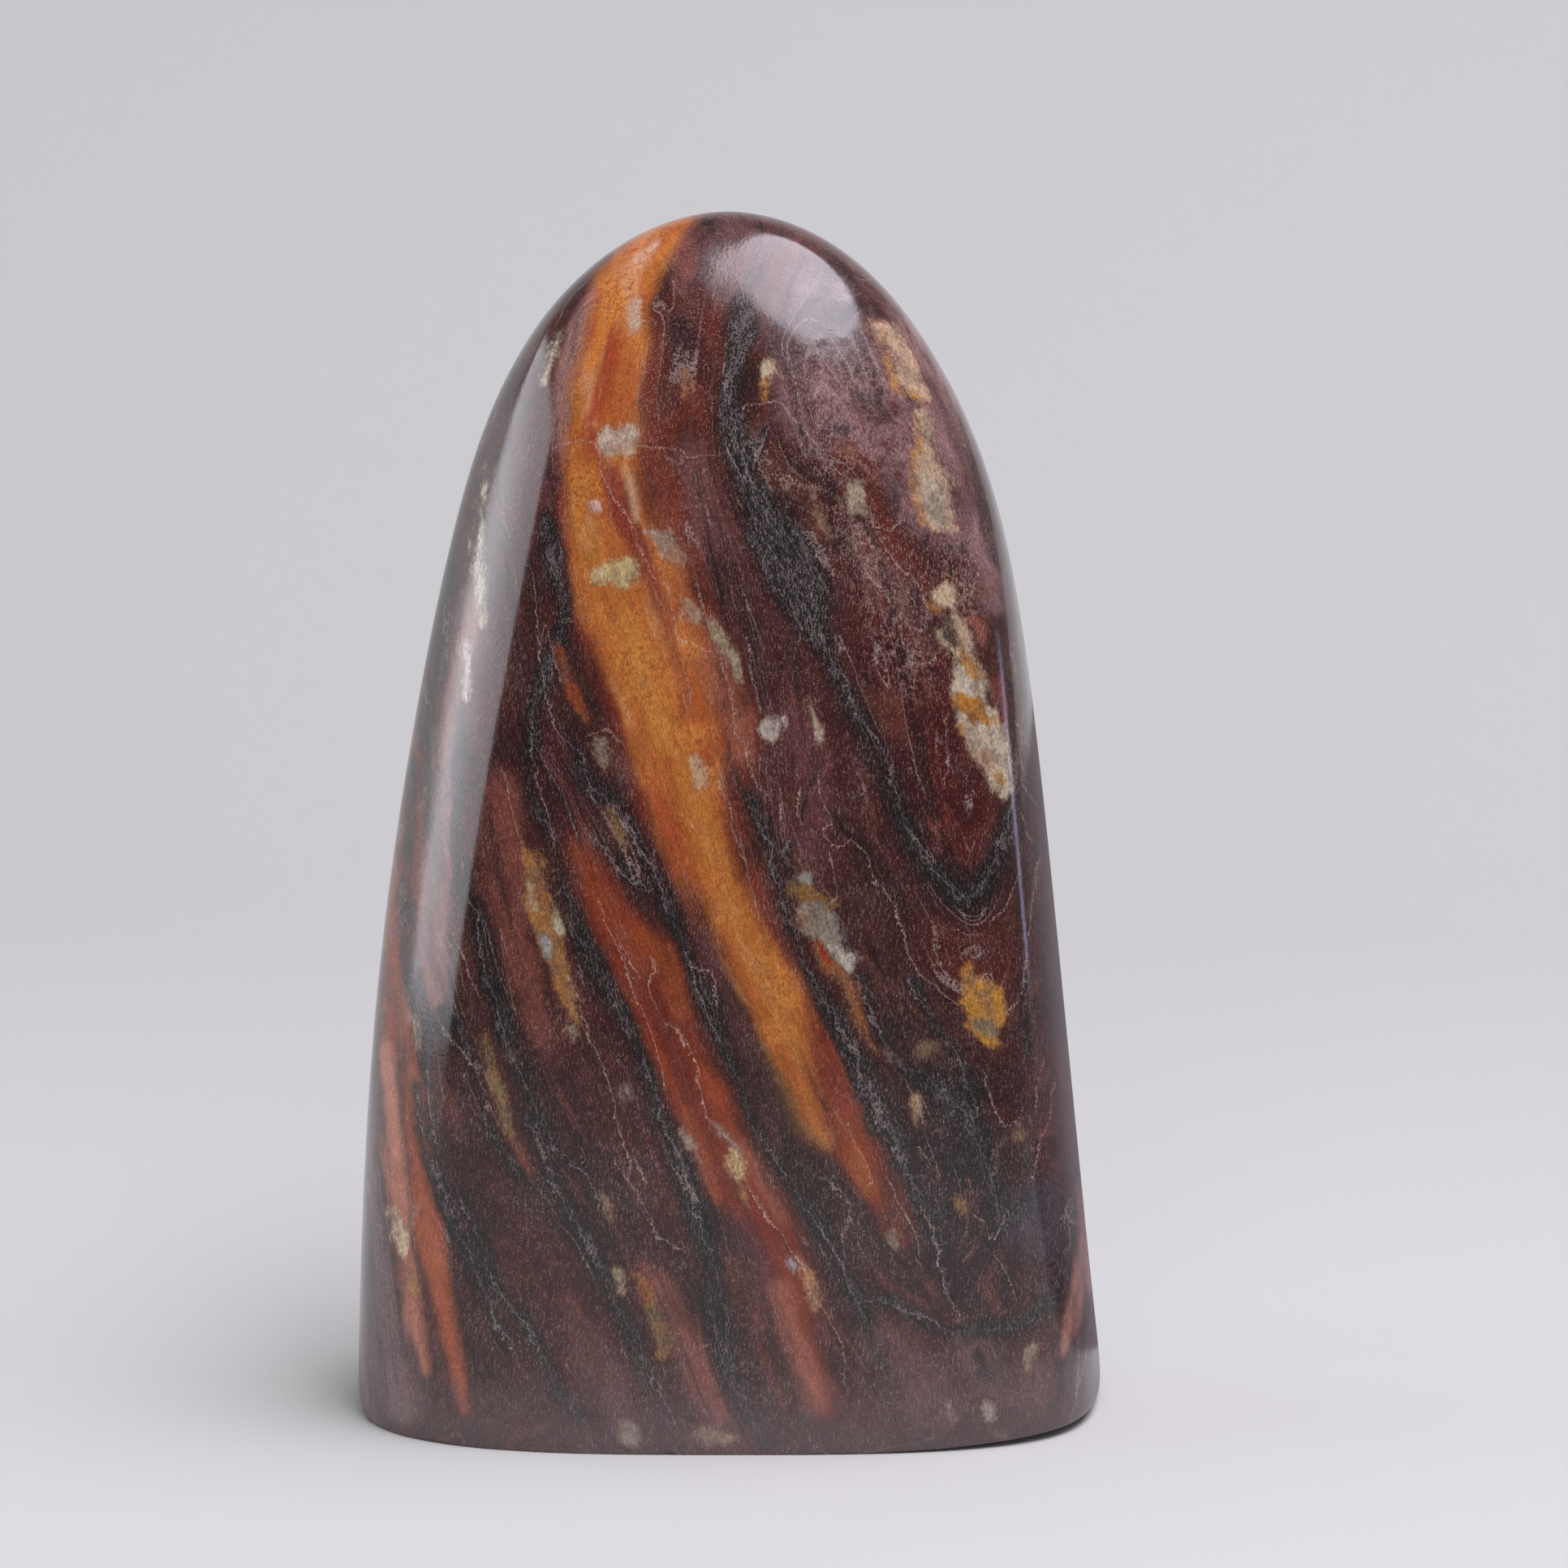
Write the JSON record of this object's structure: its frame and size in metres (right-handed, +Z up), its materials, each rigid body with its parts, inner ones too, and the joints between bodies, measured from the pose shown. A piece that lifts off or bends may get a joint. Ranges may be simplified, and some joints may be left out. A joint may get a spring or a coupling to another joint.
{
  "type": "jasper freeform",
  "caption": "Polished standing stone: a tapered column with a round arched top, soft ground faces and a flat lapped foot, banded in maroon, black, rust and ochre.",
  "frame": {"origin": "on the surface the stone stands on, under the middle of its box", "axes": "+Z up from the lapped foot to the top of the arch, broad front face towards -Y, +X to the viewer's right"},
  "size_m": [0.079, 0.0472, 0.1261],
  "materials": {
    "jasper": "polished"
  },
  "bodies": {
    "root": {"stone": "jasper"}
  },
  "joints": []
}
